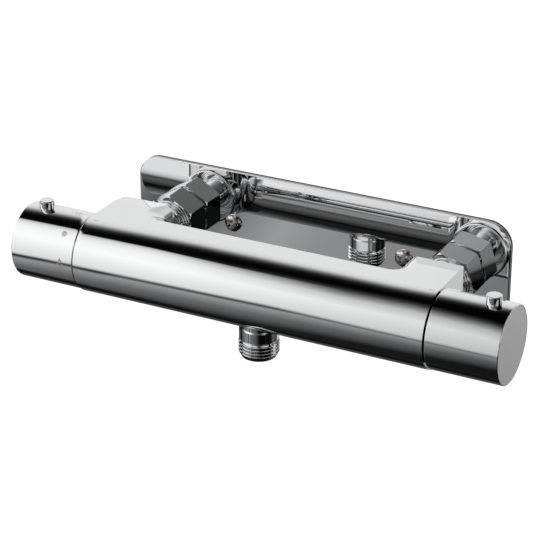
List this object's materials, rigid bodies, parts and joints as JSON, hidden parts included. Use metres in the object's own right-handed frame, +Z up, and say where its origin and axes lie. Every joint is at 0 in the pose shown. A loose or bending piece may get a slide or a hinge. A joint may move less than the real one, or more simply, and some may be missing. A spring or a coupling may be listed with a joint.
{
  "type": "thermostatic shower valve",
  "caption": "Exposed thermostatic shower bar valve on a rounded wall plate, with flow and temperature knobs, release buttons, union nuts and a threaded outlet below.",
  "frame": {"origin": "centre of the wall plate's back face, on the finished wall", "axes": "+X along the bar towards the temperature knob, +Y into the wall, +Z up"},
  "size_m": [0.2688, 0.1186, 0.0663],
  "materials": {
    "chromed_brass": "mirror-bright chrome plating on a smooth casting",
    "polished_plate": "mirror-polished stainless sheet",
    "satin_cap": "fine satin",
    "bright_screw": "bright, with a warm tint",
    "plain_brass": "machined brass",
    "spring_steel": "drawn stainless wire",
    "steel_mesh": "perforated stainless sheet",
    "black_rubber": "moulded rubber",
    "fibre_seal": "pressed fibre",
    "white_ceramic": null,
    "ivory_plastic": "moulded plastic",
    "grey_plastic": "glass-filled moulded plastic",
    "wax_capsule": "drawn copper alloy"
  },
  "bodies": {
    "valve": {"valve_body": "chromed_brass", "wall_plate": "polished_plate", "wall_screws": "bright_screw", "wall_nipples": "chromed_brass", "nipple_flange_seals": "black_rubber", "union_tails": "chromed_brass", "union_washers": "fibre_seal", "inlet_strainers": "steel_mesh", "check_valve_housings": "ivory_plastic", "check_valve_seals": "black_rubber", "hot_check_spring": "spring_steel", "cold_check_spring": "spring_steel", "outlet_nipple": "chromed_brass", "outlet_seal": "black_rubber", "mix_tube": "ivory_plastic", "mix_tube_seal": "black_rubber", "flow_cartridge_body": "plain_brass", "flow_cartridge_seal": "black_rubber", "flow_rubber_seat": "black_rubber", "flow_lower_disc": "white_ceramic", "flow_stop_ring": "plain_brass", "thermostat_housing": "grey_plastic", "thermostat_housing_seals": "black_rubber", "thermostat_retaining_nut": "plain_brass", "temperature_stop_ring": "plain_brass", "piston_return_spring": "spring_steel"},
    "hot_nut": {"hot_union_nut": "chromed_brass"},
    "cold_nut": {"cold_union_nut": "chromed_brass"},
    "hot_check": {"hot_check_poppet": "ivory_plastic"},
    "cold_check": {"cold_check_poppet": "ivory_plastic"},
    "flow_knob": {"flow_upper_disc": "white_ceramic", "flow_spindle": "plain_brass", "flow_spindle_seal": "black_rubber", "flow_spindle_clip": "spring_steel", "flow_knob_shell": "chromed_brass", "flow_knob_hub": "grey_plastic", "flow_knob_screw": "spring_steel", "flow_knob_cap": "satin_cap", "flow_button_spring": "spring_steel"},
    "flow_release": {"flow_button": "chromed_brass", "flow_button_latch": "ivory_plastic"},
    "temperature_knob": {"temperature_spindle": "plain_brass", "temperature_spindle_seal": "black_rubber", "temperature_spindle_clip": "spring_steel", "temperature_knob_shell": "chromed_brass", "temperature_knob_hub": "grey_plastic", "temperature_knob_screw": "spring_steel", "temperature_knob_cap": "satin_cap", "temperature_button_spring": "spring_steel"},
    "temperature_release": {"temperature_button": "chromed_brass", "temperature_button_latch": "ivory_plastic"},
    "regulator": {"regulating_piston": "ivory_plastic", "regulating_piston_seal": "black_rubber", "wax_element": "wax_capsule", "adjusting_nut": "plain_brass", "overload_spring": "spring_steel", "overload_spring_seat": "spring_steel", "overload_spring_plug": "spring_steel"}
  },
  "joints": [
    {"name": "flow_knob_turn", "type": "hinge", "parent": "valve", "child": "flow_knob", "pos_m": [-0.1158, -0.0688, 0], "axis": [-1, 0, 0], "range_deg": [0, 90]},
    {"name": "flow_button_press", "type": "slide", "parent": "flow_knob", "child": "flow_release", "axis": [0, 0, -1], "range_m": [0, 0.0025], "stiffness_N_per_m": 300, "deforming": ["flow_button_spring"]},
    {"name": "temperature_knob_turn", "type": "hinge", "parent": "valve", "child": "temperature_knob", "pos_m": [0.1158, -0.0688, 0], "axis": [1, 0, 0], "range_deg": [-50, 140]},
    {"name": "temperature_button_press", "type": "slide", "parent": "temperature_knob", "child": "temperature_release", "axis": [0, 0, -1], "range_m": [0, 0.0025], "stiffness_N_per_m": 300, "deforming": ["temperature_button_spring"]},
    {"name": "regulator_slide", "type": "slide", "parent": "valve", "child": "regulator", "axis": [-1, 0, 0], "range_m": [-0.00042, 0.00117], "deforming": ["piston_return_spring"]},
    {"name": "hot_nut_turn", "type": "hinge", "parent": "valve", "child": "hot_nut", "pos_m": [-0.08, -0.0115, 0], "axis": [0, -1, 0], "continuous": true},
    {"name": "cold_nut_turn", "type": "hinge", "parent": "valve", "child": "cold_nut", "pos_m": [0.08, -0.0115, 0], "axis": [0, -1, 0], "continuous": true},
    {"name": "hot_check_open", "type": "slide", "parent": "valve", "child": "hot_check", "axis": [0, -1, 0], "range_m": [0, 0.002], "stiffness_N_per_m": 20, "deforming": ["hot_check_spring"]},
    {"name": "cold_check_open", "type": "slide", "parent": "valve", "child": "cold_check", "axis": [0, -1, 0], "range_m": [0, 0.002], "stiffness_N_per_m": 20, "deforming": ["cold_check_spring"]}
  ],
  "couplings": [
    {"joint": "regulator_slide", "follows": "temperature_knob_turn", "m_per_rad": 0.00047746}
  ]
}
